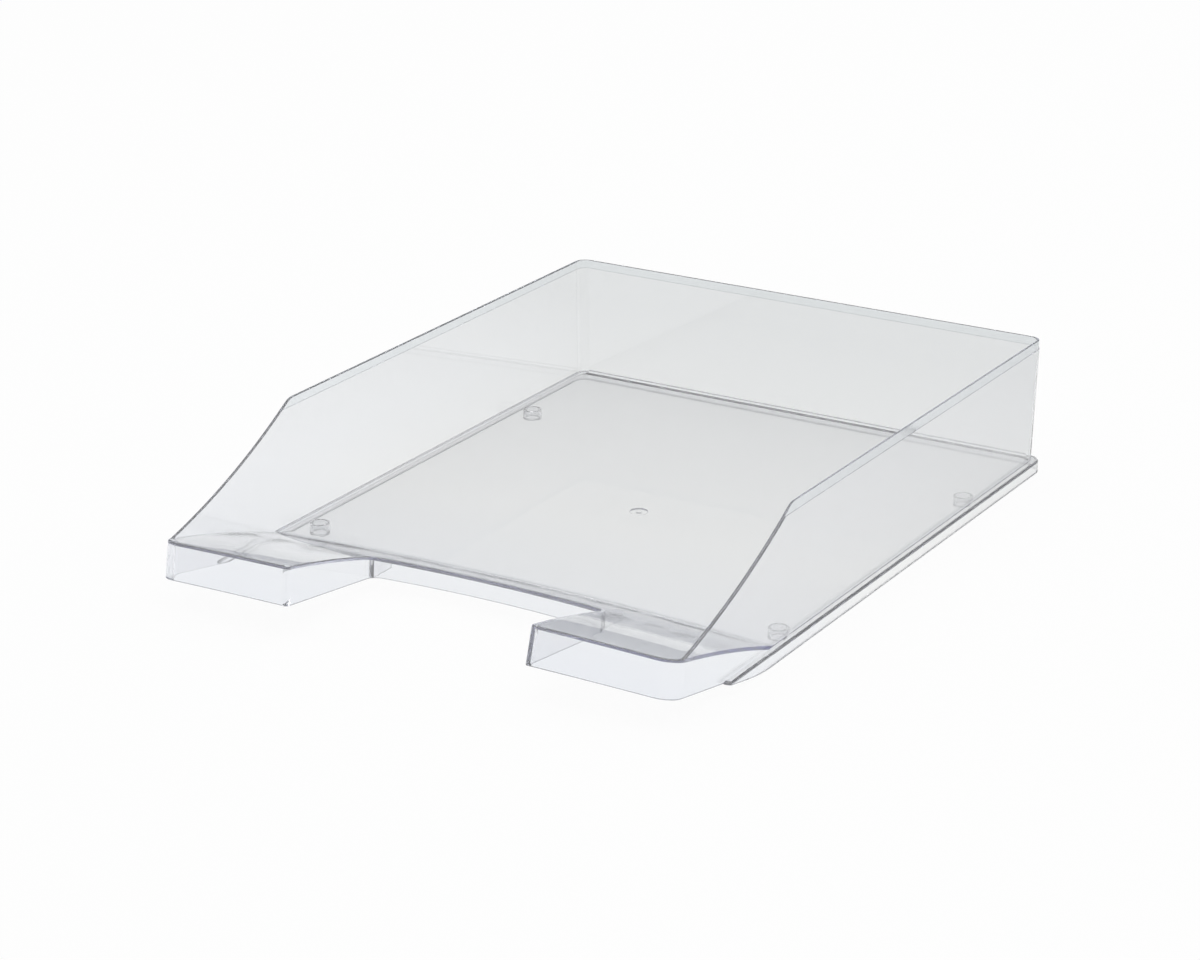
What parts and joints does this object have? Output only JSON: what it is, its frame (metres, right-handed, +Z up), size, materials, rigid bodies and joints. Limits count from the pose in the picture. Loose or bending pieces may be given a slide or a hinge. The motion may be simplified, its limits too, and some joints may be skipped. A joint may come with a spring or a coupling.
{
  "type": "letter tray",
  "caption": "Open-topped clear plastic letter tray with sloping side walls, a front ramp between raised ears, a hand cut-out and a base skirt that drops over the rim of a tray below.",
  "frame": {"origin": "centre of the tray's footprint, on the desk", "axes": "+X to the right seen from the front, +Y to the back wall, +Z up"},
  "size_m": [0.255, 0.348, 0.065],
  "materials": {
    "clear_polystyrene": "clear, polished moulding"
  },
  "bodies": {
    "root": {"letter_tray": "clear_polystyrene"}
  },
  "joints": []
}
